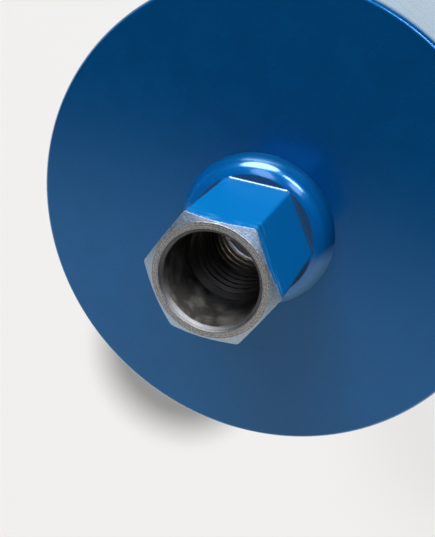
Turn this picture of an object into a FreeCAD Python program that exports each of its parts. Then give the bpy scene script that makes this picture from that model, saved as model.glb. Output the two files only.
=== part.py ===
import FreeCAD, Part

import os

import Sketcher

# A wet diamond core bit. It stands on its ring of segments with the hub on top,
# and its axis is Z. The origin is the centre of the ring's cutting face.

DIMENSIONS = {
    # Hub: a round steel blank with six flats milled on its upper part.
    "wrench_flats": 41.0,
    "hub_diameter": 47.0,
    "hub_height": 50.0,
    "hexagon_length": 42.0,
    "flat_corner_radius": 0.8,
    "end_face_diameter": 39.8,
    "end_chamfer_angle": 30.0,
    # Hub bore: a plain lead-in above the tapping bore of a 1 1/4 inch, 7 per inch thread.
    "tapping_diameter": 27.8,
    "lead_in_diameter": 32.5,
    "lead_in_depth": 22.5,
    "mouth_chamfer": 1.5,
    "outlet_chamfer": 1.0,
    # Domed weld round the foot of the hub: steps outwards from the hub and up from the plate.
    "weld_crown_width": 2.4,
    "weld_crown_rise": 6.7,
    "weld_flank_width": 4.5,
    "weld_flank_rise": 4.5,
    "weld_toe_width": 5.8,
    "weld_toe_rise": 1.6,
    "weld_width": 5.9,
    # Closing plate and barrel.
    "barrel_diameter": 180.0,
    "barrel_wall": 2.5,
    "barrel_length": 440.0,
    "plate_thickness": 6.0,
    "plate_edge_chamfer": 1.2,
    "spigot_depth": 2.5,
    "seam_depth": 1.2,
    "fit_clearance": 0.1,
    # Diamond segments and the silver solder that holds them.
    "segment_count": 14,
    "segment_length": 24.0,
    "segment_thickness": 4.5,
    "segment_height": 10.0,
    "solder_thickness": 0.25,
    "solder_fillet": 0.4,
}

# Lengths and radii that several pieces share.
HUB_RADIUS = "dims.hub_diameter / 2"
TAPPING_RADIUS = "dims.tapping_diameter / 2"
LEAD_IN_RADIUS = "dims.lead_in_diameter / 2"
END_FACE_RADIUS = "dims.end_face_diameter / 2"
BARREL_RADIUS = "dims.barrel_diameter / 2"
BARREL_INSIDE = "(dims.barrel_diameter / 2 - dims.barrel_wall)"
WALL_MIDDLE = "(dims.barrel_diameter - dims.barrel_wall) / 2"
SEGMENT_INSIDE = "(" + WALL_MIDDLE + " - dims.segment_thickness / 2)"
SEGMENT_OUTSIDE = "(" + WALL_MIDDLE + " + dims.segment_thickness / 2)"
SEGMENT_ANGLE = "dims.segment_length / (" + WALL_MIDDLE + ") * 180 / pi"

# Heights above the cutting face at which the pieces meet.
SOLDER_LEVEL = "dims.segment_height"
BARREL_LEVEL = "(dims.segment_height + dims.solder_thickness)"
SEAM_LEVEL = "(" + BARREL_LEVEL + " + dims.barrel_length)"
PLATE_LEVEL = "(" + SEAM_LEVEL + " - dims.spigot_depth)"
PLATE_FRONT = "(" + PLATE_LEVEL + " + dims.plate_thickness)"
HUB_LENGTH = "(dims.plate_thickness + dims.hub_height)"

doc = FreeCAD.newDocument("core_bit")


def add_dimensions():
    sheet = doc.addObject("Spreadsheet::Sheet", "dims")
    for row, (name, value) in enumerate(DIMENSIONS.items(), start=1):
        sheet.set("A%d" % row, name)
        sheet.set("B%d" % row, str(value))
        sheet.setAlias("B%d" % row, name)
    doc.recompute()
    return sheet


sheet = add_dimensions()


def value_of(expression):
    return float(sheet.evalExpression(expression))


def new_body(name, level="0"):
    body = doc.addObject("PartDesign::Body", name)
    body.Label = name
    body.setExpression("Placement.Base.z", level)
    return body


def origin_plane(body, role):
    for feature in body.Origin.OriginFeatures:
        if feature.Role == role:
            return feature
    raise ValueError("no " + role + " in " + body.Name)


def new_sketch(body, name, plane="XZ_Plane"):
    sketch = body.newObject("Sketcher::SketchObject", name)
    sketch.AttachmentSupport = [(origin_plane(body, plane), "")]
    sketch.MapMode = "FlatFace"
    return sketch


def place_vertex(sketch, line, across, up):
    """Holds the start of a line at its radius and height, each bound to an expression."""
    for kind, axis, expression in (("DistanceX", -2, across), ("DistanceY", -1, up)):
        if expression == "0":
            sketch.addConstraint(Sketcher.Constraint("PointOnObject", line, 1, axis))
            continue
        size = value_of(expression)
        index = sketch.addConstraint(Sketcher.Constraint(kind, -1, 1, line, 1, size))
        sketch.setExpression("Constraints[%d]" % index, expression)


def draw_outline(sketch, corners, rounded_side=None, radius=None):
    """Draws a closed outline through (across, up) corners. One side can be an arc."""
    points = [FreeCAD.Vector(value_of(across), value_of(up), 0) for across, up in corners]
    for side, start in enumerate(points):
        end = points[(side + 1) % len(points)]
        if side == rounded_side:
            sketch.addGeometry(arc_through(start, end, value_of(radius)), False)
        else:
            sketch.addGeometry(Part.LineSegment(start, end), False)
    for side, (across, up) in enumerate(corners):
        place_vertex(sketch, side, across, up)
        following = (side + 1) % len(corners)
        sketch.addConstraint(Sketcher.Constraint("Coincident", side, 2, following, 1))
    if rounded_side is not None:
        size = value_of(radius)
        index = sketch.addConstraint(Sketcher.Constraint("Radius", rounded_side, size))
        sketch.setExpression("Constraints[%d]" % index, radius)


def arc_through(start, end, radius):
    """The counter-clockwise arc from start to end that stays under half a turn."""
    chord = end - start
    middle = (start + end) * 0.5
    inward = FreeCAD.Vector(-chord.y, chord.x, 0).normalize()
    centre = middle + inward * (radius**2 - (chord.Length / 2) ** 2) ** 0.5
    far_side = middle - inward * (radius - (middle - centre).Length)
    return Part.Arc(start, far_side, end)


def revolve(body, sketch, angle=None):
    turned = body.newObject("PartDesign::Revolution", body.Name + "_turned")
    turned.Profile = sketch
    turned.ReferenceAxis = (sketch, ["V_Axis"])
    turned.Angle = 360
    if angle is not None:
        turned.Midplane = True
        turned.setExpression("Angle", angle)
    body.Tip = turned
    return turned


def turned_body(name, level, corners, **options):
    body = new_body(name, level)
    sketch = new_sketch(body, name + "_section")
    draw_outline(sketch, corners, **options)
    revolve(body, sketch)
    return body


def make_hub():
    """Turned blank with a stepped bore, then six flats milled down to a shoulder."""
    end_drop = "(" + HUB_RADIUS + " - " + END_FACE_RADIUS + ") * tan(dims.end_chamfer_angle * 1 deg)"
    lead_in_floor = "(" + HUB_LENGTH + " - dims.lead_in_depth)"
    step_height = "(" + LEAD_IN_RADIUS + " - " + TAPPING_RADIUS + ")"
    hub = turned_body(
        "threaded_hub",
        PLATE_LEVEL,
        [
            (TAPPING_RADIUS + " + dims.outlet_chamfer", "0"),
            (HUB_RADIUS, "0"),
            (HUB_RADIUS, HUB_LENGTH + " - " + end_drop),
            (END_FACE_RADIUS, HUB_LENGTH),
            (LEAD_IN_RADIUS + " + dims.mouth_chamfer", HUB_LENGTH),
            (LEAD_IN_RADIUS, HUB_LENGTH + " - dims.mouth_chamfer"),
            (LEAD_IN_RADIUS, lead_in_floor),
            (TAPPING_RADIUS, lead_in_floor + " - " + step_height),
            (TAPPING_RADIUS, "dims.outlet_chamfer"),
        ],
    )
    mill_flats(hub)
    return hub


def mill_flats(hub):
    """One flat is cut with a round-cornered cutter, then repeated round the axis."""
    flat = "dims.wrench_flats / 2"
    shoulder = "(" + HUB_LENGTH + " - dims.hexagon_length)"
    clear_of_hub = "dims.hub_diameter"
    above_hub = "(" + HUB_LENGTH + " + dims.mouth_chamfer)"
    sketch = new_sketch(hub, "flat_section")
    draw_outline(
        sketch,
        [
            (flat + " + dims.flat_corner_radius", shoulder),
            (clear_of_hub, shoulder),
            (clear_of_hub, above_hub),
            (flat, above_hub),
            (flat, shoulder + " + dims.flat_corner_radius"),
        ],
        rounded_side=4,
        radius="dims.flat_corner_radius",
    )
    cut = hub.newObject("PartDesign::Pocket", "milled_flat")
    cut.Profile = sketch
    cut.Midplane = True
    cut.setExpression("Length", "dims.hub_diameter * 2")
    doc.recompute()
    pattern = hub.newObject("PartDesign::PolarPattern", "six_flats")
    pattern.Originals = [cut]
    pattern.Axis = (sketch, ["V_Axis"])
    pattern.Angle = 360
    pattern.Occurrences = 6
    hub.Tip = pattern


def make_hub_weld():
    """Domed weld ring, from the plate up to the shoulder that the milled flats leave."""
    turned_body(
        "hub_weld",
        PLATE_FRONT,
        [
            (HUB_RADIUS, "0"),
            (HUB_RADIUS + " + dims.weld_width", "0"),
            (HUB_RADIUS + " + dims.weld_toe_width", "dims.weld_toe_rise"),
            (HUB_RADIUS + " + dims.weld_flank_width", "dims.weld_flank_rise"),
            (HUB_RADIUS + " + dims.weld_crown_width", "dims.weld_crown_rise"),
            (HUB_RADIUS, "dims.hub_height - dims.hexagon_length"),
        ],
    )


def make_plate():
    """Closing plate: its rim lies on the barrel's end and its spigot centres it inside."""
    turned_body(
        "closing_plate",
        PLATE_LEVEL,
        [
            (HUB_RADIUS + " + dims.fit_clearance", "0"),
            (BARREL_INSIDE + " - dims.fit_clearance", "0"),
            (BARREL_INSIDE + " - dims.fit_clearance", "dims.spigot_depth"),
            (BARREL_RADIUS + " - dims.seam_depth", "dims.spigot_depth"),
            (BARREL_RADIUS, "dims.spigot_depth + dims.seam_depth"),
            (BARREL_RADIUS, "dims.plate_thickness - dims.plate_edge_chamfer"),
            (BARREL_RADIUS + " - dims.plate_edge_chamfer", "dims.plate_thickness"),
            (HUB_RADIUS + " + dims.fit_clearance", "dims.plate_thickness"),
        ],
    )


def make_barrel():
    """Steel tube, bevelled outside at the top for the seam weld."""
    turned_body(
        "barrel_tube",
        BARREL_LEVEL,
        [
            (BARREL_INSIDE, "0"),
            (BARREL_RADIUS, "0"),
            (BARREL_RADIUS, "dims.barrel_length - dims.seam_depth"),
            (BARREL_RADIUS + " - dims.seam_depth", "dims.barrel_length"),
            (BARREL_INSIDE, "dims.barrel_length"),
        ],
    )


def make_seam_weld():
    """Weld ring in the groove between plate and barrel, ground flush outside."""
    turned_body(
        "seam_weld",
        "(" + SEAM_LEVEL + " - dims.seam_depth)",
        [
            (BARREL_RADIUS, "0"),
            (BARREL_RADIUS, "2 * dims.seam_depth"),
            (BARREL_RADIUS + " - dims.seam_depth", "dims.seam_depth"),
        ],
    )


def ring_piece(name, index, level, corners):
    """One arc of a turned ring, centred on its place round the axis."""
    body = new_body(name, level)
    sketch = new_sketch(body, name + "_section")
    draw_outline(sketch, corners)
    revolve(body, sketch, angle=SEGMENT_ANGLE)
    body.setExpression("Placement.Rotation.Angle", "360 deg * %d / dims.segment_count" % index)
    return body


def make_segment(index):
    """Diamond segment, thicker than the barrel wall by the same amount on both sides."""
    ring_piece(
        "segment_%02d" % (index + 1),
        index,
        "0",
        [
            (SEGMENT_INSIDE, "0"),
            (SEGMENT_OUTSIDE, "0"),
            (SEGMENT_OUTSIDE, "dims.segment_height"),
            (SEGMENT_INSIDE, "dims.segment_height"),
        ],
    )


def make_solder(index):
    """Silver solder under the barrel's end, spread a little on the segment."""
    ring_piece(
        "solder_%02d" % (index + 1),
        index,
        SOLDER_LEVEL,
        [
            (BARREL_INSIDE + " - dims.solder_fillet", "0"),
            (BARREL_RADIUS + " + dims.solder_fillet", "0"),
            (BARREL_RADIUS, "dims.solder_thickness"),
            (BARREL_INSIDE, "dims.solder_thickness"),
        ],
    )


def check_document():
    doc.recompute()
    for item in doc.Objects:
        if "Invalid" in item.State or "Error" in item.State:
            raise RuntimeError(item.Name + " failed: " + str(item.State))


def export_bodies():
    os.makedirs("parts", exist_ok=True)
    for body in doc.Objects:
        if body.TypeId != "PartDesign::Body":
            continue
        shape = body.Shape
        if shape.isNull() or not shape.isValid() or len(shape.Solids) != 1:
            raise RuntimeError(body.Label + " is not one valid solid")
        shape.exportStep("parts/" + body.Label + ".step")


make_hub()
make_hub_weld()
make_plate()
make_barrel()
make_seam_weld()
for segment in range(int(sheet.segment_count)):
    make_segment(segment)
    make_solder(segment)
check_document()
export_bodies()
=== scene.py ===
"""A wet diamond core bit, standing on its ring of segments with its threaded hub on top."""

import math

import bmesh
import bpy
from mathutils import Matrix, Quaternion, Vector


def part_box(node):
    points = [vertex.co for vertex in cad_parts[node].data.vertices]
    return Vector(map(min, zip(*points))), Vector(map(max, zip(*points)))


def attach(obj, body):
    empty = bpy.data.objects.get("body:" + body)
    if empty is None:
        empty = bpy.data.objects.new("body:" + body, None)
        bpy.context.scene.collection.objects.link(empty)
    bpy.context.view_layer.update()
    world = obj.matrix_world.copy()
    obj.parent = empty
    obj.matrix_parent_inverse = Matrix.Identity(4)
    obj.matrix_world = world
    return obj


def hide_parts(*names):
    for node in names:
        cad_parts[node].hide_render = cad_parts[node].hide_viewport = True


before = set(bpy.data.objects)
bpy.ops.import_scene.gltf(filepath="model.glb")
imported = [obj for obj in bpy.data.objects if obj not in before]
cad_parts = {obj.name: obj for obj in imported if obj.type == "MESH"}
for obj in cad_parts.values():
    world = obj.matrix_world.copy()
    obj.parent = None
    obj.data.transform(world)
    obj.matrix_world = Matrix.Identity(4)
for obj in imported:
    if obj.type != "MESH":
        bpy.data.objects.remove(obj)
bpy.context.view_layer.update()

MM = 0.001
FULL_TURN = math.tau
SLACK = 0.01

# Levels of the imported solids, in millimetres above the cutting face.
hub_low, hub_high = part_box("threaded_hub")
plate_low, plate_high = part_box("closing_plate")
barrel_low, barrel_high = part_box("barrel_tube")
HUB_BACK = hub_low.z / MM
HUB_END = hub_high.z / MM
PLATE_BACK = plate_low.z / MM
PLATE_FRONT = plate_high.z / MM
BARREL_FOOT = barrel_low.z / MM
BARREL_TOP = barrel_high.z / MM

# Hub: a turned blank with six flats, a shoulder below them and a stepped bore.
FLAT_DISTANCE = 20.5
MILLING_STOCK = 1.0
RIM_RADIUS = FLAT_DISTANCE + MILLING_STOCK
RIM_LEVEL = HUB_END - 1.0
FOOT_ROUND = 0.8
FOOT_STEPS = 5
BLANK_RADIUS = 23.5
CORNER_RADIUS = BLANK_RADIUS - 0.03
CORNER_BEARING = 30
SECTOR_ANGLE = 60
SHOULDER = HUB_END - 42.0
END_RING_RADIUS = 19.9
END_RING_LIP = 0.08
END_RING_DROP = 0.12
END_CHAMFER = math.radians(30)
MOUTH_RADIUS = 17.75
LEAD_IN_RADIUS = 16.25
LEAD_IN_TOP = HUB_END - MOUTH_RADIUS + LEAD_IN_RADIUS
LEAD_IN_FLOOR = HUB_END - 22.5
OUTLET_CHAMFER = 1.0

# Thread in the hub: 1 1/4 inch, 7 per inch, right-handed.
PITCH = 25.4 / 7
CREST_RADIUS = 13.9
ROOT_RADIUS = 15.875
CREST_WIDTH = PITCH / 4
FLANK_SLOPE = math.tan(math.radians(30))
FIRST_CREST = HUB_END - 27.7
CREST_BEARING = 90.9
THREAD_END = HUB_END - 51.5
RUN_OUT = 3.0
THREAD_ROW = 0.16

# Weld round the hub's foot: a dome that stands on the plate.
DOME_CENTRE = (20.43, PLATE_FRONT - 0.44)
DOME_RADIUS = 8.98
DOME_START = 4
DOME_END = 69.5
DOME_STEPS = 28
TOE_LIP = 0.12

# Barrel, closing plate and the ring of segments.
BARREL_RADIUS = 90.0
BARREL_INSIDE = 87.5
BORE_IN_PLATE = 23.6
SPIGOT_RADIUS = 87.4
SPIGOT_HEIGHT = 2.5
EDGE_CHAMFER = 1.2
SEAM_DEPTH = 1.2
SEAM_SWELL = 0.16
SEAM_SHOULDER = 0.12
SEGMENT_INSIDE = 86.5
SEGMENT_OUTSIDE = 91.0
SEGMENT_HEIGHT = 10.0
SEGMENT_LENGTH = 24.0
SEGMENT_ANGLE = 2 * SEGMENT_LENGTH / (SEGMENT_INSIDE + SEGMENT_OUTSIDE)
SEGMENT_COUNT = 14
SEGMENT_STEPS = 12

# Widths of the small rounds on the edges.
FLAT_RIM_EASE = 0.1
MOUTH_EASE = 0.12
LEDGE_EASE = 0.15
PLATE_EASE = 0.5
BARREL_EASE = 0.3
SEGMENT_EASE = 0.25

ROUND_STEPS = 192
SECTOR_STEPS = ROUND_STEPS // 6
CORNER_STEPS = 3
SHARP_ANGLE = math.radians(40)

# The wave texture repeats after this length at a scale of 1.
WAVE_LENGTH = 0.314


def linear(colour):
    """The linear values of an sRGB hex colour, with an alpha of 1."""
    values = [int(colour[i : i + 2], 16) / 255 for i in (1, 3, 5)]
    parts = [v / 12.92 if v <= 0.04045 else ((v + 0.055) / 1.055) ** 2.4 for v in values]
    return (*parts, 1.0)


def turn(outline):
    """Spins a closed outline of (radius, height) points, in millimetres, round the axis."""
    work = bmesh.new()
    points = [work.verts.new((radius * MM, 0, height * MM)) for radius, height in outline]
    edges = [work.edges.new((points[i - 1], points[i])) for i in range(len(points))]
    bmesh.ops.spin(
        work,
        geom=points + edges,
        cent=(0, 0, 0),
        axis=(0, 0, 1),
        angle=FULL_TURN,
        steps=ROUND_STEPS,
        use_merge=True,
    )
    bmesh.ops.recalc_face_normals(work, faces=work.faces)
    return work


def ring_edges(work, radius, height):
    """The edges of the turned ring at a radius and height in millimetres."""

    def on_ring(vertex):
        distance = math.hypot(vertex.co.x, vertex.co.y) / MM
        return abs(distance - radius) < SLACK and abs(vertex.co.z / MM - height) < SLACK

    return [edge for edge in work.edges if all(on_ring(v) for v in edge.verts)]


def ease(work, edges, width, segments=3, material=-1):
    """Rounds edges over a width in millimetres."""
    bmesh.ops.bevel(
        work,
        geom=edges,
        offset=width * MM,
        offset_type="OFFSET",
        affect="EDGES",
        segments=segments,
        profile=0.5,
        material=material,
        clamp_overlap=True,
    )


def arc(centre, radius, start, end, steps):
    """Points of an arc in the plane of the axis, from one angle in degrees to another."""
    angles = [math.radians(start + (end - start) * i / steps) for i in range(steps + 1)]
    return [(centre[0] + radius * math.cos(a), centre[1] + radius * math.sin(a)) for a in angles]


def finish_piece(name, work, materials, nodes):
    """Makes the piece, lets it ride on the part and stand for its CAD nodes."""
    for face in work.faces:
        face.smooth = True
    for edge in work.edges:
        edge.smooth = edge.calc_face_angle(0) < SHARP_ANGLE
    mesh = bpy.data.meshes.new(name)
    work.to_mesh(mesh)
    work.free()
    piece = bpy.data.objects.new(name, mesh)
    bpy.context.scene.collection.objects.link(piece)
    for material in materials:
        mesh.materials.append(material)
    normals = piece.modifiers.new("even_shading", "WEIGHTED_NORMAL")
    normals.keep_sharp = True
    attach(piece, "root")
    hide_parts(*nodes)


def add_node(tree, kind, settings=None, links=None):
    """Adds a node, sets its properties and inputs, and links its inputs to other outputs."""
    node = tree.nodes.new(kind)
    for name, value in (settings or {}).items():
        if isinstance(name, str) and hasattr(node, name):
            setattr(node, name, value)
        else:
            node.inputs[name].default_value = value
    for name, source in (links or {}).items():
        tree.links.new(source, node.inputs[name])
    return node


def new_material(name):
    """A material without nodes, and its node tree."""
    material = bpy.data.materials.new(name)
    material.use_nodes = True
    material.node_tree.nodes.clear()
    return material, material.node_tree


def shade_and_sheen_the_toe(tree, place, skin, shade, dull, toe):
    """Painted shade and a painted sheen on a weld's enamel, near its toe, a radius in millimetres.

    On the front half, the gloss fades towards the toe, as dust dulls it, and the colour darkens
    there:
    painted shade. On the far side, the flank within it turns a pale blue and loses gloss: a
    painted sheen that stands for the highlight there, so that it runs out softly on the plate.
    """
    axes = add_node(tree, "ShaderNodeSeparateXYZ", None, {0: place.outputs["Object"]})
    side = add_node(
        tree,
        "ShaderNodeMapRange",
        {"From Min": -12 * MM, "From Max": -2 * MM, "To Min": 1.0, "To Max": 0.0},
        {"Value": axes.outputs["Y"]},
    )
    across = add_node(
        tree,
        "ShaderNodeVectorMath",
        {"operation": "MULTIPLY", 1: (1, 1, 0)},
        {0: place.outputs["Object"]},
    )
    radius = add_node(
        tree, "ShaderNodeVectorMath", {"operation": "LENGTH"}, {0: across.outputs[0]}
    )
    past_toe = add_node(
        tree,
        "ShaderNodeMapRange",
        {
            "From Min": (toe - 0.7) * MM,
            "From Max": toe * MM,
            "To Min": 0.0,
            "To Max": 0.9,
        },
        {"Value": radius.outputs["Value"]},
    )
    dusted = add_node(
        tree,
        "ShaderNodeMath",
        {"operation": "MULTIPLY"},
        {0: past_toe.outputs[0], 1: side.outputs[0]},
    )
    gloss = add_node(
        tree, "ShaderNodeMath", {"operation": "SUBTRACT", 0: 1.0}, {1: dusted.outputs[0]}
    )
    rough = add_node(
        tree,
        "ShaderNodeMath",
        {"operation": "MULTIPLY_ADD", 1: 0.39},
        {0: dusted.outputs[0], 2: dull.outputs[0]},
    )
    # Painted shade: on the front half, the colour darkens towards the toe.
    shade_ramp = add_node(
        tree,
        "ShaderNodeMapRange",
        {
            "From Min": (toe - 2.2) * MM,
            "From Max": (toe + 0.9) * MM,
            "To Min": 0.0,
            "To Max": 0.8,
        },
        {"Value": radius.outputs["Value"]},
    )
    painted_shade_mask = add_node(
        tree,
        "ShaderNodeMath",
        {"operation": "MULTIPLY"},
        {0: shade_ramp.outputs[0], 1: side.outputs[0]},
    )
    shaded_colour = add_node(
        tree,
        "ShaderNodeMix",
        {"data_type": "RGBA", 7: linear("#003768")},
        {0: painted_shade_mask.outputs[0], 6: shade.outputs[2]},
    )
    # Painted sheen: on the far side, the flank turns pale blue, standing for a highlight.
    far_side_reach = add_node(
        tree,
        "ShaderNodeVectorMath",
        {"operation": "DOT_PRODUCT", 1: (-0.94, 0.34, 0)},
        {0: place.outputs["Object"]},
    )
    far_side_mask = add_node(
        tree,
        "ShaderNodeMapRange",
        {"From Min": 16 * MM, "From Max": 21 * MM, "To Min": 0.0, "To Max": 1.0},
        {"Value": far_side_reach.outputs["Value"]},
    )
    flank = add_node(
        tree,
        "ShaderNodeMapRange",
        {
            "From Min": (toe - 3.5) * MM,
            "From Max": (toe - 1.5) * MM,
            "To Min": 0.0,
            "To Max": 1.0,
        },
        {"Value": radius.outputs["Value"]},
    )
    painted_sheen_mask = add_node(
        tree,
        "ShaderNodeMath",
        {"operation": "MULTIPLY"},
        {0: far_side_mask.outputs[0], 1: flank.outputs[0]},
    )
    sheened_colour = add_node(
        tree,
        "ShaderNodeMix",
        {"data_type": "RGBA", 7: linear("#6FA0CC")},
        {0: painted_sheen_mask.outputs[0], 6: shaded_colour.outputs[2]},
    )
    thinner = add_node(
        tree,
        "ShaderNodeMath",
        {"operation": "SUBTRACT", "use_clamp": True},
        {0: gloss.outputs[0], 1: painted_sheen_mask.outputs[0]},
    )
    rougher = add_node(
        tree,
        "ShaderNodeMath",
        {"operation": "MULTIPLY_ADD", 1: 0.35},
        {0: painted_sheen_mask.outputs[0], 2: rough.outputs[0]},
    )
    tree.links.new(sheened_colour.outputs[2], skin.inputs["Base Color"])
    tree.links.new(thinner.outputs[0], skin.inputs["Coat Weight"])
    tree.links.new(rougher.outputs[0], skin.inputs["Roughness"])


def enamel_material(name, colours, metal, coat_roughness, coat_index, ripple, shaded_toe=None):
    """Blue machine enamel with a fine metallic effect, under a clear gloss coat.

    The ripple, in millimetres, is the depth of faint rings such as a weld leaves under its paint.
    The shaded toe is the radius, in millimetres, where the paint on a weld loses its gloss and
    takes painted shade and a painted sheen.
    """
    material, tree = new_material(name)
    place = add_node(tree, "ShaderNodeTexCoord")
    drift = add_node(
        tree,
        "ShaderNodeTexNoise",
        {"Scale": 1 / (45 * MM), "Detail": 2.0},
        {"Vector": place.outputs["Object"]},
    )
    shade = add_node(
        tree,
        "ShaderNodeMix",
        {"data_type": "RGBA", 6: linear(colours[0]), 7: linear(colours[1])},
        {0: drift.outputs[0]},
    )
    cloud = add_node(
        tree,
        "ShaderNodeTexNoise",
        {"Scale": 1 / (9 * MM), "Detail": 4.0},
        {"Vector": place.outputs["Object"]},
    )
    dull = add_node(
        tree,
        "ShaderNodeMapRange",
        {"From Min": 0.3, "From Max": 0.7, "To Min": 0.22, "To Max": 0.31},
        {"Value": cloud.outputs[0]},
    )
    rings = add_node(
        tree,
        "ShaderNodeTexWave",
        {
            "wave_type": "RINGS",
            "rings_direction": "Z",
            "Scale": WAVE_LENGTH / (1.1 * MM),
            "Distortion": 1.5,
            "Detail": 2.0,
            "Detail Scale": 0.4,
        },
        {"Vector": place.outputs["Object"]},
    )
    relief = add_node(
        tree,
        "ShaderNodeBump",
        {"Strength": 0.5, "Distance": ripple * MM},
        {"Height": rings.outputs["Fac"]},
    )
    skin = add_node(
        tree,
        "ShaderNodeBsdfPrincipled",
        {
            "Metallic": metal,
            "IOR": 1.5,
            "Specular Tint": linear("#30F4FF"),
            "Coat Weight": 1.0,
            "Coat Roughness": coat_roughness,
            "Coat IOR": coat_index,
        },
        {
            "Base Color": shade.outputs[2],
            "Roughness": dull.outputs[0],
            "Normal": relief.outputs[0],
        },
    )
    if shaded_toe:
        shade_and_sheen_the_toe(tree, place, skin, shade, dull, shaded_toe)
    add_node(tree, "ShaderNodeOutputMaterial", None, {"Surface": skin.outputs[0]})
    return material


def corner_shade_material():
    """Dark mottled enamel in the corners behind the flats: painted shade in these recesses."""
    material, tree = new_material("painted_shade_enamel_in_corners")
    place = add_node(tree, "ShaderNodeTexCoord")
    corner_mottle = add_node(
        tree,
        "ShaderNodeTexNoise",
        {"Scale": 1 / (1.5 * MM), "Detail": 4.0},
        {"Vector": place.outputs["Object"]},
    )
    tone = add_node(
        tree,
        "ShaderNodeMix",
        {"data_type": "RGBA", 6: linear("#08365E"), 7: linear("#24567C")},
        {0: corner_mottle.outputs[0]},
    )
    skin = add_node(
        tree, "ShaderNodeBsdfPrincipled", {"Roughness": 0.6}, {"Base Color": tone.outputs[2]}
    )
    add_node(tree, "ShaderNodeOutputMaterial", None, {"Surface": skin.outputs[0]})
    return material


def flat_material():
    """Thin satin enamel on the milled flats.

    It shows faint cutter streaks, rubbed paler near the end, and a chipped white edge.
    """
    material, tree = new_material("milled_flat_enamel")
    place = add_node(tree, "ShaderNodeTexCoord")
    axes = add_node(tree, "ShaderNodeSeparateXYZ", None, {0: place.outputs["Object"]})
    across = add_node(
        tree,
        "ShaderNodeCombineXYZ",
        None,
        {"X": axes.outputs["X"], "Y": axes.outputs["Y"]},
    )
    radius = add_node(
        tree, "ShaderNodeVectorMath", {"operation": "LENGTH"}, {0: across.outputs[0]}
    )
    cut_edge = add_node(
        tree,
        "ShaderNodeMath",
        {
            "operation": "MULTIPLY_ADD",
            1: -math.tan(END_CHAMFER),
            2: (HUB_END + END_RING_RADIUS * math.tan(END_CHAMFER)) * MM,
        },
        {0: radius.outputs["Value"]},
    )
    from_edge = add_node(
        tree,
        "ShaderNodeMath",
        {"operation": "SUBTRACT"},
        {0: cut_edge.outputs[0], 1: axes.outputs["Z"]},
    )
    flakes = add_node(
        tree,
        "ShaderNodeTexNoise",
        {"Scale": 1 / (1.3 * MM), "Detail": 4.0, "Roughness": 0.7},
        {"Vector": place.outputs["Object"]},
    )
    reach = add_node(
        tree,
        "ShaderNodeMapRange",
        {"From Min": 0.45, "From Max": 0.68, "To Min": 0.0, "To Max": 1.5 * MM},
        {"Value": flakes.outputs[0]},
    )
    chipped = add_node(
        tree,
        "ShaderNodeMath",
        {"operation": "LESS_THAN"},
        {0: from_edge.outputs[0], 1: reach.outputs[0]},
    )
    along_flat = add_node(
        tree,
        "ShaderNodeMapping",
        {"Scale": (1 / (7 * MM), 1 / (7 * MM), 1 / (0.9 * MM))},
        {"Vector": place.outputs["Object"]},
    )
    streaks = add_node(
        tree,
        "ShaderNodeTexNoise",
        {"Scale": 1.0, "Detail": 3.0, "Distortion": 0.6},
        {"Vector": along_flat.outputs[0]},
    )
    near_end = add_node(
        tree,
        "ShaderNodeMapRange",
        {"From Min": 1 * MM, "From Max": 12 * MM, "To Min": 1.0, "To Max": 0.55},
        {"Value": from_edge.outputs[0]},
    )
    streak_height = add_node(
        tree,
        "ShaderNodeMath",
        {"operation": "MULTIPLY"},
        {0: streaks.outputs[0], 1: near_end.outputs[0]},
    )
    relief = add_node(
        tree,
        "ShaderNodeBump",
        {"Strength": 0.8, "Distance": 0.12 * MM},
        {"Height": streak_height.outputs[0]},
    )
    blue = add_node(
        tree,
        "ShaderNodeMix",
        {"data_type": "RGBA", 6: linear("#0070B8"), 7: linear("#007ABE")},
        {0: streaks.outputs[0]},
    )
    rubbed = add_node(
        tree,
        "ShaderNodeMapRange",
        {"From Min": 0.47, "From Max": 0.6, "To Min": 0.0, "To Max": 0.55},
        {"Value": streak_height.outputs[0]},
    )
    paint = add_node(
        tree,
        "ShaderNodeMix",
        {"data_type": "RGBA", 7: linear("#4FAAE4")},
        {0: rubbed.outputs[0], 6: blue.outputs[2]},
    )
    tone = add_node(
        tree,
        "ShaderNodeMix",
        {"data_type": "RGBA", 7: linear("#DFE3E8")},
        {0: chipped.outputs[0], 6: paint.outputs[2]},
    )
    skin = add_node(
        tree,
        "ShaderNodeBsdfPrincipled",
        {"Roughness": 0.45, "Specular IOR Level": 0.1},
        {
            "Base Color": tone.outputs[2],
            "Metallic": chipped.outputs[0],
            "Normal": relief.outputs[0],
        },
    )
    add_node(tree, "ShaderNodeOutputMaterial", None, {"Surface": skin.outputs[0]})
    return material


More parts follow.
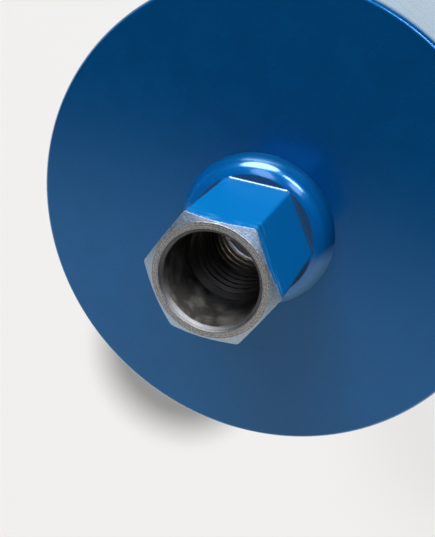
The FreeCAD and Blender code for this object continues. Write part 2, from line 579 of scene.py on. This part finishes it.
def steel_material(
    name, colours, roughness, cut, mark, weight, depth, patch=0.0, metal=1.0, speck=0.15
):
    """Bare cut steel: grey metal with tool marks that run round the axis, and a fine speckle.

    The marks are real feed lines of about 0.2 mm, drawn coarser so that they show. The weight is
    their share of the relief, and the patch is how far dried oil darkens the metal in places. The
    speck is how strongly the grain of the cut shows.
    """
    material, tree = new_material(name)
    place = add_node(tree, "ShaderNodeTexCoord")
    lines = add_node(
        tree,
        "ShaderNodeTexWave",
        {
            "wave_type": cut,
            "rings_direction": "Z",
            "bands_direction": "Z",
            "Scale": WAVE_LENGTH / (mark * MM),
            "Distortion": 0.8,
            "Detail": 2.0,
            "Detail Scale": 1.0,
        },
        {"Vector": place.outputs["Object"]},
    )
    grain = add_node(
        tree,
        "ShaderNodeTexNoise",
        {"Scale": 1 / (0.55 * MM), "Detail": 1.5, "Roughness": 0.6},
        {"Vector": place.outputs["Object"]},
    )
    speckle = add_node(
        tree,
        "ShaderNodeMapRange",
        {"From Min": 0.36, "From Max": 0.64, "To Min": 0.5 - speck, "To Max": 0.5 + speck},
        {"Value": grain.outputs[0]},
    )
    wear = add_node(
        tree,
        "ShaderNodeTexNoise",
        {"Scale": 1 / (6 * MM), "Detail": 2.0},
        {"Vector": place.outputs["Object"]},
    )
    marks = add_node(
        tree,
        "ShaderNodeMath",
        {"operation": "MULTIPLY"},
        {0: lines.outputs["Fac"], 1: wear.outputs[0]},
    )
    height = add_node(
        tree,
        "ShaderNodeMath",
        {"operation": "MULTIPLY_ADD", 1: weight},
        {0: marks.outputs[0], 2: speckle.outputs[0]},
    )
    tone = add_node(
        tree,
        "ShaderNodeMix",
        {"data_type": "RGBA", 6: linear(colours[0]), 7: linear(colours[1])},
        {0: height.outputs[0]},
    )
    oily = add_node(
        tree,
        "ShaderNodeMapRange",
        {"From Min": 0.38, "From Max": 0.66, "To Min": patch, "To Max": 0.0},
        {"Value": wear.outputs[0]},
    )
    stained = add_node(
        tree,
        "ShaderNodeMix",
        {"data_type": "RGBA", 7: linear("#1E1C1A")},
        {0: oily.outputs[0], 6: tone.outputs[2]},
    )
    rough = add_node(
        tree,
        "ShaderNodeMapRange",
        {"From Min": 0.35, "From Max": 0.7, "To Min": roughness - 0.08, "To Max": roughness + 0.1},
        {"Value": grain.outputs[0]},
    )
    relief = add_node(
        tree,
        "ShaderNodeBump",
        {"Strength": 0.7, "Distance": depth * MM},
        {"Height": height.outputs[0]},
    )
    skin = add_node(
        tree,
        "ShaderNodeBsdfPrincipled",
        {"Metallic": metal},
        {
            "Base Color": stained.outputs[2],
            "Roughness": rough.outputs[0],
            "Normal": relief.outputs[0],
        },
    )
    add_node(tree, "ShaderNodeOutputMaterial", None, {"Surface": skin.outputs[0]})
    return material


def grit_material():
    """Sintered bronze and cobalt with diamond grit: a dull brownish grey with pale grains."""
    material, tree = new_material("sintered_segment")
    place = add_node(tree, "ShaderNodeTexCoord")
    grains = add_node(
        tree,
        "ShaderNodeTexVoronoi",
        {"Scale": 1 / (1.1 * MM), "Randomness": 1.0},
        {"Vector": place.outputs["Object"]},
    )
    grain = add_node(
        tree,
        "ShaderNodeMapRange",
        {"From Min": 0.16, "From Max": 0.26, "To Min": 1.0, "To Max": 0.0},
        {"Value": grains.outputs["Distance"]},
    )
    powder = add_node(
        tree,
        "ShaderNodeTexNoise",
        {"Scale": 1 / (0.3 * MM), "Detail": 4.0},
        {"Vector": place.outputs["Object"]},
    )
    matrix = add_node(
        tree,
        "ShaderNodeMix",
        {"data_type": "RGBA", 6: linear("#5C564E"), 7: linear("#8A8070")},
        {0: powder.outputs[0]},
    )
    tone = add_node(
        tree,
        "ShaderNodeMix",
        {"data_type": "RGBA", 7: linear("#C9C6A8")},
        {0: grain.outputs[0], 6: matrix.outputs[2]},
    )
    metal = add_node(
        tree,
        "ShaderNodeMapRange",
        {"To Min": 0.7, "To Max": 0.0},
        {"Value": grain.outputs[0]},
    )
    height = add_node(
        tree,
        "ShaderNodeMath",
        {"operation": "ADD"},
        {0: grain.outputs[0], 1: powder.outputs[0]},
    )
    relief = add_node(
        tree,
        "ShaderNodeBump",
        {"Strength": 0.8, "Distance": 0.15 * MM},
        {"Height": height.outputs[0]},
    )
    skin = add_node(
        tree,
        "ShaderNodeBsdfPrincipled",
        {"Roughness": 0.6},
        {
            "Base Color": tone.outputs[2],
            "Metallic": metal.outputs[0],
            "Normal": relief.outputs[0],
        },
    )
    add_node(tree, "ShaderNodeOutputMaterial", None, {"Surface": skin.outputs[0]})
    return material


# The weld shines like wet paint over its faint rings. Its blue is set lighter than the plate's,
# though it is the same paint: painted light.
weld_enamel = enamel_material(
    "blue_enamel_on_weld",
    ("#0069B6", "#006FBC"),
    metal=0.2,
    coat_roughness=0.13,
    coat_index=1.7,
    ripple=0.02,
    shaded_toe=28.5,
)

# The plate and the barrel mirror the studio softly. Their blue is set deeper than the weld's,
# though it is the same paint: painted shade.
body_enamel = enamel_material(
    "blue_enamel_on_body",
    ("#005C9D", "#0062A3"),
    metal=0.54,
    coat_roughness=0.16,
    coat_index=1.46,
    ripple=0.0005,
)

corner_shade_enamel = corner_shade_material()
flat_enamel = flat_material()

# The hub's end ring: feed lines and a bright speckle.
turned_steel = steel_material(
    "turned_steel",
    ("#56575A", "#D4D5D6"),
    roughness=0.42,
    cut="RINGS",
    mark=0.75,
    weight=0.6,
    depth=0.055,
    speck=0.28,
)

# The chamfered corners: plainer than the ring, and tinted blue: a painted reflection of the blue
# around them.
chamfer_steel = steel_material(
    "chamfered_steel",
    ("#7895AE", "#CFDEEB"),
    roughness=0.47,
    cut="RINGS",
    mark=0.9,
    weight=0.25,
    depth=0.06,
    speck=0.2,
)

# The lead-in: a smooth grey bore, stained dark by dried oil.
bored_steel = steel_material(
    "bored_steel",
    ("#5C5A57", "#86837E"),
    roughness=0.4,
    cut="BANDS",
    mark=0.8,
    weight=0.6,
    depth=0.03,
    patch=0.85,
    metal=0.6,
)

# The thread: nearly black, darker than the lead-in above it: painted shade deep in the bore.
thread_steel = steel_material(
    "shaded_thread_steel",
    ("#3A3734", "#57534E"),
    roughness=0.48,
    cut="BANDS",
    mark=0.8,
    weight=0.5,
    depth=0.03,
)

# The chamfer of the mouth: an even grey with dull turning marks.
mouth_steel = steel_material(
    "turned_mouth_steel",
    ("#525253", "#8C8C8C"),
    roughness=0.56,
    cut="RINGS",
    mark=0.75,
    weight=0.7,
    depth=0.06,
    speck=0.2,
)

# The step at the foot of the flat that faces the key lamp: bright bluish metal, a painted
# highlight in a thin line.
highlight_step_steel = steel_material(
    "painted_highlight_step",
    ("#67829F", "#83A0C0"),
    roughness=0.3,
    cut="BANDS",
    mark=1.0,
    weight=0.3,
    depth=0.01,
)

# The inside of the tube: plain dull grey, as drawn.
tube_steel = steel_material(
    "drawn_tube_steel",
    ("#77787A", "#8C8B88"),
    roughness=0.55,
    cut="BANDS",
    mark=2.0,
    weight=0.5,
    depth=0.02,
)

# The joints under the segments: pale and faintly yellow.
silver_solder = steel_material(
    "silver_solder",
    ("#BDB8AA", "#D3CEC0"),
    roughness=0.35,
    cut="BANDS",
    mark=1.5,
    weight=0.3,
    depth=0.05,
)

segment_metal = grit_material()

# Hub. The names below are the places of its finishes in its list of materials.

hub_finishes = [
    weld_enamel,
    turned_steel,
    bored_steel,
    flat_enamel,
    chamfer_steel,
    highlight_step_steel,
    corner_shade_enamel,
    thread_steel,
    mouth_steel,
]
PAINTED, TURNED, BORED, MILLED, CHAMFERED, HIGHLIGHT_STEP, CORNER_SHADE, THREADED, MOUTH = range(9)

# Limits that tell the hub's faces apart: margins in millimetres, and how far a face looks up.
WALL_MARGIN = 0.2
FLAT_MARGIN = 0.7
RING_MARGIN = 0.05
WALL_LIFT = 0.6
FLAT_LIFT = 0.3
SHOULDER_LIFT = 0.9

# The two flats' feet that differ from the rest, each between two bearings in degrees: a painted
# highlight on the one that faces the key lamp, painted shade on the one beside it.
LIT_STEP_BEARINGS = (-90, -30)
SHADED_STEP_BEARINGS = (-150, -90)


def thread_radius(bearing, height):
    """Radius of the threaded wall at a bearing in degrees and a height in millimetres."""
    crest = FIRST_CREST + PITCH * (bearing - CREST_BEARING) / 360
    turns = (crest - height) / PITCH
    from_crest = abs((turns + 0.5) % 1 - 0.5) * PITCH
    flank = max(from_crest - CREST_WIDTH / 2, 0) / FLANK_SLOPE
    depth = min(flank, ROOT_RADIUS - CREST_RADIUS)
    fade = min(max((height - THREAD_END + RUN_OUT) / RUN_OUT, 0), 1)
    cone = CREST_RADIUS + height - (LEAD_IN_FLOOR - LEAD_IN_RADIUS + CREST_RADIUS)
    return max(CREST_RADIUS + depth * fade, min(cone, LEAD_IN_RADIUS))


def flat_point(step, distance):
    """Point of the milled hexagon for one of the even steps round the axis, in millimetres.

    The blank is a little narrower than the hexagon's corners, so it cuts them off.
    """
    sector, place = divmod(step, SECTOR_STEPS)
    if place > SECTOR_STEPS // 2:
        sector, place = sector + 1, place - SECTOR_STEPS
    half_sector = math.radians(SECTOR_ANGLE / 2)
    if abs(place) <= CORNER_STEPS:
        strip = half_sector - math.acos(distance / CORNER_RADIUS)
        swing = strip * place / CORNER_STEPS
        out = CORNER_RADIUS * math.cos(swing)
        across = CORNER_RADIUS * math.sin(swing)
    else:
        side = math.copysign(1, place)
        share = (abs(place) - CORNER_STEPS) / (SECTOR_STEPS // 2 - CORNER_STEPS)
        along = math.sqrt(CORNER_RADIUS**2 - distance**2) * (1 - share)
        out = distance * math.cos(half_sector) + along * math.sin(half_sector)
        across = (distance * math.sin(half_sector) - along * math.cos(half_sector)) * side
    bearing = math.radians(CORNER_BEARING + SECTOR_ANGLE * sector)
    return (
        out * math.cos(bearing) - across * math.sin(bearing),
        out * math.sin(bearing) + across * math.cos(bearing),
    )


def cut_hub(work):
    """Moves the turned blank's points to the thread, the six flats and the end's chamfer."""
    for vertex in work.verts:
        bearing = math.degrees(math.atan2(vertex.co.y, vertex.co.x)) % 360
        radius = math.hypot(vertex.co.x, vertex.co.y) / MM
        height = vertex.co.z / MM
        in_stock = RIM_RADIUS - SLACK < radius < RIM_RADIUS + FOOT_ROUND + SLACK
        if abs(radius - LEAD_IN_RADIUS) < SLACK and height < LEAD_IN_FLOOR + SLACK:
            new = thread_radius(bearing, height) / radius
            vertex.co = Vector((vertex.co.x * new, vertex.co.y * new, vertex.co.z))
        elif in_stock and height > SHOULDER - SLACK:
            step = round((bearing - CORNER_BEARING) * ROUND_STEPS / 360)
            x, y = flat_point(step, max(radius - MILLING_STOCK, FLAT_DISTANCE))
            if height > RIM_LEVEL - SLACK:
                drop = (math.hypot(x, y) - END_RING_RADIUS) * math.tan(END_CHAMFER)
                height = HUB_END - drop
            vertex.co = Vector((x, y, height)) * MM


def hub_finish(face):
    """The finish of one of the hub's faces, from its place and from its slope before cutting.

    At the flats' feet, the step that faces the key lamp is bright metal, a painted highlight, and
    the one beside it takes the dark corner enamel, a painted shade.
    """
    middle = face.calc_center_median() / MM
    radius = math.hypot(middle.x, middle.y)
    upward = face.normal.z
    if radius < LEAD_IN_RADIUS + WALL_MARGIN and upward < WALL_LIFT:
        return BORED if middle.z > LEAD_IN_FLOOR else THREADED
    if middle.z < SHOULDER + SLACK:
        return CORNER_SHADE if upward > SHOULDER_LIFT else PAINTED
    if middle.z < SHOULDER + FOOT_ROUND:
        bearing = math.degrees(math.atan2(middle.y, middle.x))
        if LIT_STEP_BEARINGS[0] < bearing < LIT_STEP_BEARINGS[1]:
            return HIGHLIGHT_STEP
        return CORNER_SHADE if SHADED_STEP_BEARINGS[0] < bearing <= SHADED_STEP_BEARINGS[1] else MILLED
    if radius > FLAT_DISTANCE - FLAT_MARGIN and upward < FLAT_LIFT:
        return MILLED
    if radius < MOUTH_RADIUS:
        return MOUTH
    return CHAMFERED if radius > END_RING_RADIUS + RING_MARGIN else TURNED


def make_hub():
    """Turned blank, then six milled flats, a cut thread and small rounds on the edges."""
    length = LEAD_IN_FLOOR - THREAD_END + RUN_OUT
    rows = round(length / THREAD_ROW)
    threaded = [(LEAD_IN_RADIUS, LEAD_IN_FLOOR - length * i / rows) for i in range(rows + 1)]
    foot_centre = (RIM_RADIUS + FOOT_ROUND, SHOULDER + FOOT_ROUND)
    outline = [
        (END_RING_RADIUS, HUB_END - END_RING_DROP),
        (END_RING_RADIUS - END_RING_LIP, HUB_END),
        (MOUTH_RADIUS, HUB_END),
        (LEAD_IN_RADIUS, LEAD_IN_TOP),
        *threaded,
        (CREST_RADIUS, HUB_BACK + OUTLET_CHAMFER),
        (CREST_RADIUS + OUTLET_CHAMFER, HUB_BACK),
        (BLANK_RADIUS, HUB_BACK),
        (BLANK_RADIUS, SHOULDER),
        *arc(foot_centre, FOOT_ROUND, 270, 180, FOOT_STEPS),
        (RIM_RADIUS, RIM_LEVEL),
    ]
    work = turn(outline)
    mouth = ring_edges(work, MOUTH_RADIUS, HUB_END)
    ledge = ring_edges(work, LEAD_IN_RADIUS, LEAD_IN_TOP)
    flat_rim = ring_edges(work, RIM_RADIUS, RIM_LEVEL)
    cut_hub(work)
    for face in work.faces:
        face.material_index = hub_finish(face)
    ease(work, flat_rim, FLAT_RIM_EASE, material=CHAMFERED)
    ease(work, mouth, MOUTH_EASE, material=TURNED)
    ease(work, ledge, LEDGE_EASE, material=BORED)
    finish_piece("hexagonal_hub", work, hub_finishes, ["threaded_hub"])


def make_weld():
    """Domed painted weld, from the shoulder's rim down to a sharp toe on the plate."""
    dome = arc(DOME_CENTRE, DOME_RADIUS, DOME_START, DOME_END, DOME_STEPS)
    outline = [
        (BLANK_RADIUS, PLATE_FRONT),
        (dome[0][0] + TOE_LIP, PLATE_FRONT),
        *dome,
        (BLANK_RADIUS, SHOULDER),
    ]
    work = turn(outline)
    finish_piece("hub_fillet_weld", work, [weld_enamel], ["hub_weld"])


def make_plate():
    """Closing plate: a flat disc with a spigot, a bore for the hub and an eased rim."""
    groove = PLATE_BACK + SPIGOT_HEIGHT
    outline = [
        (BORE_IN_PLATE, PLATE_BACK),
        (SPIGOT_RADIUS, PLATE_BACK),
        (SPIGOT_RADIUS, groove),
        (BARREL_RADIUS - SEAM_DEPTH, groove),
        (BARREL_RADIUS, groove + SEAM_DEPTH),
        (BARREL_RADIUS, PLATE_FRONT - EDGE_CHAMFER),
        (BARREL_RADIUS - EDGE_CHAMFER, PLATE_FRONT),
        (BORE_IN_PLATE, PLATE_FRONT),
    ]
    work = turn(outline)
    ease(work, ring_edges(work, BARREL_RADIUS, PLATE_FRONT - EDGE_CHAMFER), PLATE_EASE)
    ease(work, ring_edges(work, BARREL_RADIUS - EDGE_CHAMFER, PLATE_FRONT), PLATE_EASE)
    finish_piece("end_plate", work, [body_enamel], ["closing_plate"])


def make_barrel():
    """Barrel tube: painted outside, bare inside and at its foot."""
    outline = [
        (BARREL_INSIDE, BARREL_FOOT),
        (BARREL_RADIUS, BARREL_FOOT),
        (BARREL_RADIUS, BARREL_TOP - SEAM_DEPTH),
        (BARREL_RADIUS - SEAM_DEPTH, BARREL_TOP),
        (BARREL_INSIDE, BARREL_TOP),
    ]
    work = turn(outline)
    ease(work, ring_edges(work, BARREL_RADIUS, BARREL_FOOT), BARREL_EASE)
    for face in work.faces:
        middle = face.calc_center_median()
        outward = Vector((middle.x, middle.y, 0)).dot(face.normal)
        if outward < 0 or face.normal.z < -0.5:
            face.material_index = 1
    finish_piece("barrel", work, [body_enamel, tube_steel], ["barrel_tube"])


def make_seam():
    """Round seam between plate and barrel: ground nearly flush, then painted."""
    outline = [
        (BARREL_RADIUS - SEAM_DEPTH, BARREL_TOP),
        (BARREL_RADIUS, BARREL_TOP - SEAM_DEPTH),
        (BARREL_RADIUS + SEAM_SHOULDER, BARREL_TOP - SEAM_DEPTH / 2),
        (BARREL_RADIUS + SEAM_SWELL, BARREL_TOP),
        (BARREL_RADIUS + SEAM_SHOULDER, BARREL_TOP + SEAM_DEPTH / 2),
        (BARREL_RADIUS, BARREL_TOP + SEAM_DEPTH),
    ]
    work = turn(outline)
    finish_piece("barrel_seam", work, [body_enamel], ["seam_weld"])


def make_segment(number):
    """One diamond segment, a short arc of a rectangular bar with worn edges."""
    work = bmesh.new()
    corners = [
        (SEGMENT_INSIDE, 0),
        (SEGMENT_OUTSIDE, 0),
        (SEGMENT_OUTSIDE, SEGMENT_HEIGHT),
        (SEGMENT_INSIDE, SEGMENT_HEIGHT),
    ]
    section = work.faces.new([work.verts.new((r * MM, 0, z * MM)) for r, z in corners])
    bearing = FULL_TURN * (number - 1) / SEGMENT_COUNT - SEGMENT_ANGLE / 2
    start = Matrix.Rotation(bearing, 3, "Z")
    bmesh.ops.rotate(work, verts=work.verts, cent=(0, 0, 0), matrix=start)
    bmesh.ops.spin(
        work,
        geom=[section, *section.edges, *section.verts],
        cent=(0, 0, 0),
        axis=(0, 0, 1),
        angle=SEGMENT_ANGLE,
        steps=SEGMENT_STEPS,
        use_merge=False,
    )
    bmesh.ops.recalc_face_normals(work, faces=work.faces)
    sharp = [edge for edge in work.edges if edge.calc_face_angle(0) > SHARP_ANGLE]
    ease(work, sharp, SEGMENT_EASE, segments=2)
    name = "diamond_segment_%02d" % number
    node = "segment_%02d" % number
    finish_piece(name, work, [segment_metal], [node])


make_hub()
make_weld()
make_plate()
make_barrel()
make_seam()
for number in range(1, SEGMENT_COUNT + 1):
    make_segment(number)
    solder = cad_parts["solder_%02d" % number]
    solder.data.materials.clear()
    solder.data.materials.append(silver_solder)

# Stage: a round, pale floor.

FLOOR_RADIUS = 6.0
FLOOR_STEPS = 96
FLOOR_GLOW = 0.07


def make_stage():
    """Pale matt floor that keeps the shadow.

    It is darker for diffuse rays, so that it throws little light on the part, and it glows
    faintly where it is seen or mirrored.
    """
    material, tree = new_material("pale_floor")
    path = add_node(tree, "ShaderNodeLightPath")
    seen = add_node(
        tree,
        "ShaderNodeMath",
        {"operation": "MAXIMUM"},
        {0: path.outputs["Is Camera Ray"], 1: path.outputs["Is Glossy Ray"]},
    )
    strength = add_node(
        tree, "ShaderNodeMath", {"operation": "MULTIPLY", 1: FLOOR_GLOW}, {0: seen.outputs[0]}
    )
    colour = add_node(
        tree,
        "ShaderNodeMix",
        {"data_type": "RGBA", 6: linear("#EAE9E8"), 7: linear("#606060")},
        {0: path.outputs["Is Diffuse Ray"]},
    )
    matt = add_node(tree, "ShaderNodeBsdfDiffuse", None, {"Color": colour.outputs[2]})
    glow = add_node(
        tree,
        "ShaderNodeEmission",
        {"Color": linear("#FFFFFF")},
        {"Strength": strength.outputs[0]},
    )
    both = add_node(tree, "ShaderNodeAddShader", None, {0: matt.outputs[0], 1: glow.outputs[0]})
    add_node(tree, "ShaderNodeOutputMaterial", None, {"Surface": both.outputs[0]})
    work = bmesh.new()
    bmesh.ops.create_circle(work, cap_ends=True, segments=FLOOR_STEPS, radius=FLOOR_RADIUS)
    mesh = bpy.data.meshes.new("studio_floor")
    work.to_mesh(mesh)
    work.free()
    floor = bpy.data.objects.new("studio_floor", mesh)
    bpy.context.scene.collection.objects.link(floor)
    mesh.materials.append(material)
    return floor


studio_floor = make_stage()

# Lamps and world. Each lamp lights either the floor or all the rest.

only_floor = bpy.data.collections.new("only_floor")
only_floor.objects.link(studio_floor)
all_but_floor = bpy.data.collections.new("all_but_floor")
all_but_floor.objects.link(studio_floor)
all_but_floor.collection_objects[0].light_linking.link_state = "EXCLUDE"

PLATE_MIDDLE = (0, 0, 0.46)


def add_lamp(name, place, aim, size, watts, colour="#FFFFFF", spread=180):
    """Oval soft lamp at a place in metres, facing a point. It leaves the floor out."""
    data = bpy.data.lights.new(name, "AREA")
    data.shape = "ELLIPSE"
    data.size, data.size_y = size
    data.energy = watts
    data.color = linear(colour)[:3]
    data.spread = math.radians(spread)
    lamp = bpy.data.objects.new(name, data)
    lamp.location = place
    lamp.rotation_euler = (Vector(aim) - Vector(place)).to_track_quat("-Z", "Y").to_euler()
    lamp.visible_camera = False
    lamp.light_linking.receiver_collection = all_but_floor
    bpy.context.scene.collection.objects.link(lamp)


# The softboxes give the two highlights on the weld, and the sheens the pale tone round them.
add_lamp("key_softbox", (0.59, -0.57, 0.7), PLATE_MIDDLE, (0.64, 0.42), 6.3)
add_lamp("side_softbox", (0.065, -0.72, 0.84), PLATE_MIDDLE, (0.38, 0.08), 1.78, "#E6ECFF")
add_lamp("high_sheen", (-0.02, -0.64, 1.04), PLATE_MIDDLE, (0.24, 0.36), 0.75, "#DCE8FF")
add_lamp("left_sheen", (0.44, -0.4, 1.14), PLATE_MIDDLE, (0.32, 0.46), 1.15, "#DCE8FF")

# Inside the barrel and in the mouth of the bore.
add_lamp("core_lamp", (0, -0.06, 0.43), (0, 0.085, 0.31), (0.04, 0.04), 0.2)
add_lamp(
    "mouth_lamp",
    (0.001, -0.009, 0.502),
    (-0.0022, 0.016, 0.499),
    (0.012, 0.006),
    0.0018,
    spread=60,
)


def light_floor(name, direction, softness, strength):
    """Far lamp that lights only the floor, and evenly, so that the shadow stays."""
    data = bpy.data.lights.new(name, "SUN")
    data.angle = softness
    data.energy = strength
    lamp = bpy.data.objects.new(name, data)
    lamp.rotation_euler = Vector(direction).to_track_quat("-Z", "Y").to_euler()
    lamp.light_linking.receiver_collection = only_floor
    bpy.context.scene.collection.objects.link(lamp)


light_floor("floor_lamp", (-0.06, 0.93, -1.0), 0.08, 3.0)
light_floor("second_floor_lamp", (-0.71, 0.6, -1.0), 0.2, 0.45)

# Directions in the studio, and the strength of its light for reflections and for the camera.
WALL_DIRECTION = (-0.37, 0.93, 0.0)
STRIP_ACROSS = (-0.742, -0.613, 0.271)
DARK_LIGHT = 0.01
WALL_LIGHT = 0.72
CAMERA_LIGHT = 0.92


def light_world():
    """Dark studio with one pale wall for reflections, and pale air for the camera's own rays.

    A narrow strip across the wall is a little warm, which greys the plate below the hub.
    """
    world = bpy.data.worlds.new("studio")
    bpy.context.scene.world = world
    world.use_nodes = True
    tree = world.node_tree
    tree.nodes.clear()
    place = add_node(tree, "ShaderNodeTexCoord")
    facing = add_node(
        tree,
        "ShaderNodeVectorMath",
        {"operation": "DOT_PRODUCT", 1: WALL_DIRECTION},
        {0: place.outputs["Generated"]},
    )
    wall = add_node(
        tree,
        "ShaderNodeMapRange",
        {"From Min": 0.3, "From Max": 0.46, "To Min": DARK_LIGHT, "To Max": WALL_LIGHT},
        {"Value": facing.outputs["Value"]},
    )
    path = add_node(tree, "ShaderNodeLightPath")
    strength = add_node(
        tree,
        "ShaderNodeMix",
        {"data_type": "FLOAT", 3: CAMERA_LIGHT},
        {0: path.outputs["Is Camera Ray"], 2: wall.outputs[0]},
    )
    batten = add_node(
        tree,
        "ShaderNodeVectorMath",
        {"operation": "DOT_PRODUCT", 1: STRIP_ACROSS},
        {0: place.outputs["Generated"]},
    )
    beside = add_node(
        tree, "ShaderNodeMath", {"operation": "ABSOLUTE"}, {0: batten.outputs["Value"]}
    )
    warmth = add_node(
        tree,
        "ShaderNodeMapRange",
        {"From Min": 0.03, "From Max": 0.11, "To Min": 1.0, "To Max": 0.0},
        {"Value": beside.outputs[0]},
    )
    unseen = add_node(
        tree,
        "ShaderNodeMath",
        {"operation": "SUBTRACT", "use_clamp": True},
        {0: warmth.outputs[0], 1: path.outputs["Is Camera Ray"]},
    )
    colour = add_node(
        tree,
        "ShaderNodeMix",
        {"data_type": "RGBA", 6: linear("#F4F5F6"), 7: linear("#F4D0B0")},
        {0: unseen.outputs[0]},
    )
    air = add_node(
        tree,
        "ShaderNodeBackground",
        None,
        {"Color": colour.outputs[2], "Strength": strength.outputs[0]},
    )
    add_node(tree, "ShaderNodeOutputWorld", None, {"Surface": air.outputs[0]})


light_world()

# Camera at the photograph's viewing angle.

CAMERA_PLACE = Vector((-1.89, -126.18, 711.51)) * MM
CAMERA_AIM = Vector((1.41, 23.32, 453.75)) * MM
CAMERA_ROLL = math.radians(136.993)
CAMERA_LENS = 51.694

lens = bpy.data.cameras.new("photo_camera")
lens.lens = CAMERA_LENS
lens.clip_start = 0.01
lens.clip_end = 20
camera = bpy.data.objects.new("photo_camera", lens)
camera.location = CAMERA_PLACE
level = (CAMERA_AIM - CAMERA_PLACE).to_track_quat("-Z", "Y")
camera.rotation_euler = (level @ Quaternion((0, 0, 1), -CAMERA_ROLL)).to_euler()
bpy.context.scene.collection.objects.link(camera)
bpy.context.scene.camera = camera

bpy.context.scene.view_settings.view_transform = "Standard"
